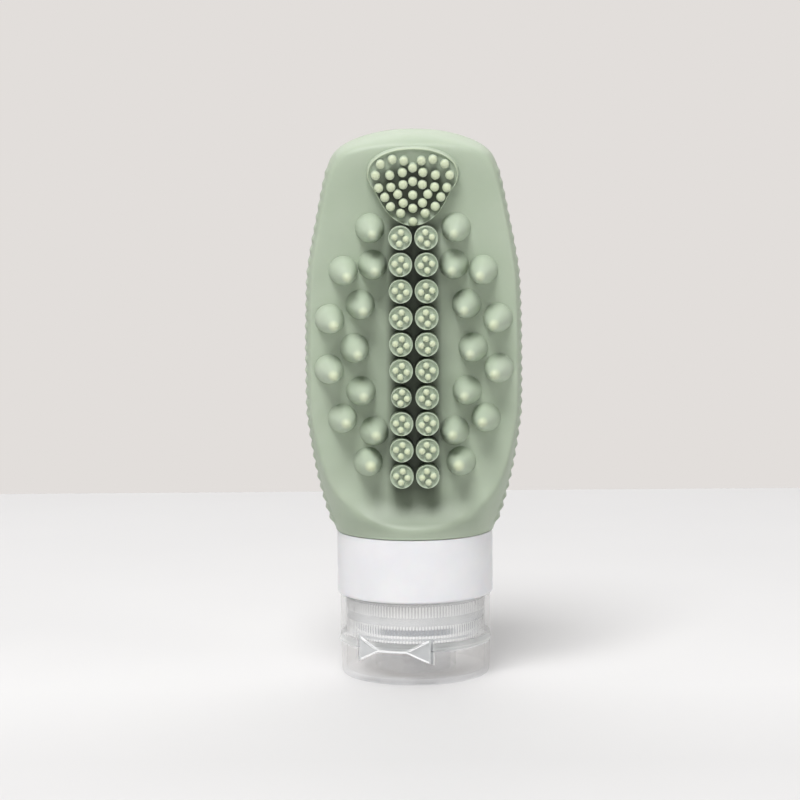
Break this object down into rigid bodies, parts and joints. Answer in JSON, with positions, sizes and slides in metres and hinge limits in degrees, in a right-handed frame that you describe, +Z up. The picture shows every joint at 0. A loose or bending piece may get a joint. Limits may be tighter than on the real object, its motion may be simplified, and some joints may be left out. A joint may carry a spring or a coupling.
{
  "type": "travel squeeze bottle",
  "caption": "Soft silicone travel bottle with a nubbed massage face, white collar and translucent flip-top screw cap, standing on its lid.",
  "frame": {"origin": "centre of the lid's flat end face, on which the bottle stands", "axes": "+Z up from the lid to the bottle's crown, -Y out of the massage face, +X to the right of a viewer who faces it"},
  "size_m": [0.0574, 0.0438, 0.1449],
  "materials": {
    "silicone": "matte sage green silicone",
    "collar_plastic": "smooth white polypropylene",
    "cap_plastic": "translucent natural polypropylene",
    "insert_plastic": "white polypropylene",
    "valve_silicone": "milky silicone",
    "gasket_foam": "soft pale foam"
  },
  "bodies": {
    "bottle": {"bottle_body": "silicone", "massage_spikes_left": "silicone", "massage_spikes_right": "silicone", "bristle_cups_left": "silicone", "bristle_cups_right": "silicone", "heart_pad": "silicone", "neck_insert": "insert_plastic", "collar": "collar_plastic"},
    "gasket": {"neck_gasket": "gasket_foam"},
    "cap": {"cap_base": "cap_plastic", "hinge_film": "cap_plastic", "hinge_strap_left": "cap_plastic", "hinge_strap_right": "cap_plastic", "drip_valve": "valve_silicone", "valve_retainer": "insert_plastic"},
    "lid": {"lid": "cap_plastic"}
  },
  "joints": [
    {"name": "cap_advance", "type": "slide", "parent": "bottle", "child": "gasket", "axis": [0, 0, -1], "range_m": [0, 0.0075]},
    {"name": "cap_turn", "type": "hinge", "parent": "gasket", "child": "cap", "pos_m": [0, 0, 0.012], "axis": [0, 0, -1], "range_deg": [0, 900]},
    {"name": "lid_hinge", "type": "hinge", "parent": "cap", "child": "lid", "pos_m": [-0.00638, -0.01896, 0.00895], "axis": [-0.9478, 0.319, 0], "range_deg": [0, 150], "deforming": ["hinge_film", "hinge_strap_left", "hinge_strap_right"]}
  ],
  "couplings": [
    {"joint": "cap_advance", "follows": "cap_turn", "m_per_rad": 0.00047746}
  ]
}
